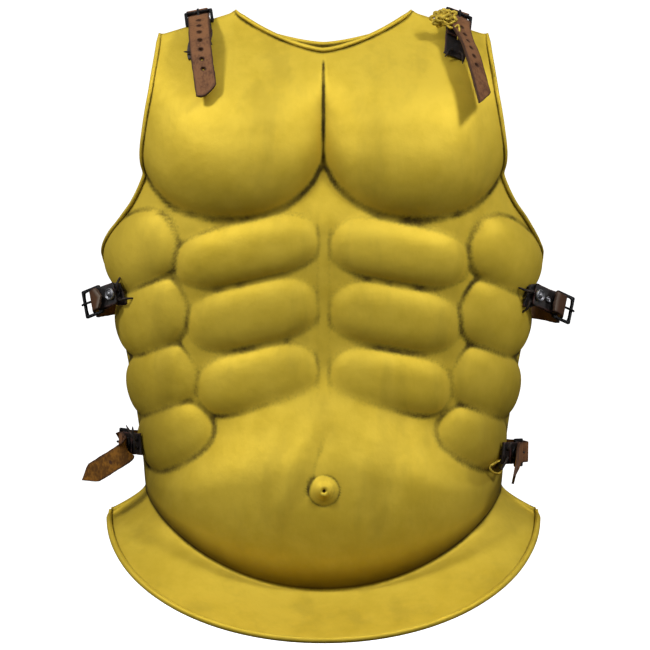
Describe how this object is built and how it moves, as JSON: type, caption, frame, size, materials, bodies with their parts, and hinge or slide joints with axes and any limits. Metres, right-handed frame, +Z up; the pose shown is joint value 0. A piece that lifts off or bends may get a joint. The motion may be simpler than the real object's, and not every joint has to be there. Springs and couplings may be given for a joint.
{
  "type": "muscle cuirass",
  "caption": "Muscle cuirass: a breastplate raised into pectorals, abdominal muscles, navel and a flared skirt, buckled by leather straps to a plainer backplate.",
  "frame": {"origin": "on the middle plane at the height of the shoulder edges, midway between the breastplate's and the backplate's shoulders", "axes": "+Z up; the breastplate faces -Y; +X is to the right as the breastplate is looked at"},
  "size_m": [0.4567, 0.3318, 0.5722],
  "materials": {
    "brass": "satin raised sheet, darker in the grooves",
    "strap_leather": "waxed brown strap leather, dark cut edges",
    "dark_leather": "black-brown leather",
    "dark_steel": "blackened steel, worn grey on the edges"
  },
  "bodies": {
    "root": {"breastplate": "brass", "backplate": "brass", "left_shoulder_strap": "strap_leather", "left_shoulder_chape": "dark_leather", "left_shoulder_lace": "dark_leather", "left_shoulder_frame": "dark_steel", "left_shoulder_tongue": "dark_steel", "left_shoulder_rivet_1": "dark_steel", "left_shoulder_strap_rivet": "dark_steel", "right_shoulder_strap": "strap_leather", "right_shoulder_chape": "dark_leather", "right_shoulder_lace": "dark_leather", "right_shoulder_frame": "dark_steel", "right_shoulder_tongue": "dark_steel", "right_shoulder_rivet_1": "dark_steel", "right_shoulder_strap_rivet": "dark_steel", "upper_left_strap": "strap_leather", "upper_left_chape": "dark_leather", "upper_left_lace": "dark_leather", "upper_left_frame": "dark_steel", "upper_left_tongue": "dark_steel", "upper_left_rivet_1": "dark_steel", "upper_left_strap_rivet": "dark_steel", "upper_right_strap": "strap_leather", "upper_right_chape": "dark_leather", "upper_right_lace": "dark_leather", "upper_right_frame": "dark_steel", "upper_right_tongue": "dark_steel", "upper_right_rivet_1": "dark_steel", "upper_right_strap_rivet": "dark_steel", "lower_left_strap": "strap_leather", "lower_left_chape": "dark_leather", "lower_left_lace": "dark_leather", "lower_left_frame": "dark_steel", "lower_left_tongue": "dark_steel", "lower_left_rivet_1": "dark_steel", "lower_left_strap_rivet": "dark_steel", "lower_right_strap": "strap_leather", "lower_right_chape": "dark_leather", "lower_right_lace": "dark_leather", "lower_right_frame": "dark_steel", "lower_right_tongue": "dark_steel", "lower_right_rivet_1": "dark_steel", "lower_right_strap_rivet": "dark_steel", "upper_right_rivet_2": "dark_steel"}
  },
  "joints": []
}
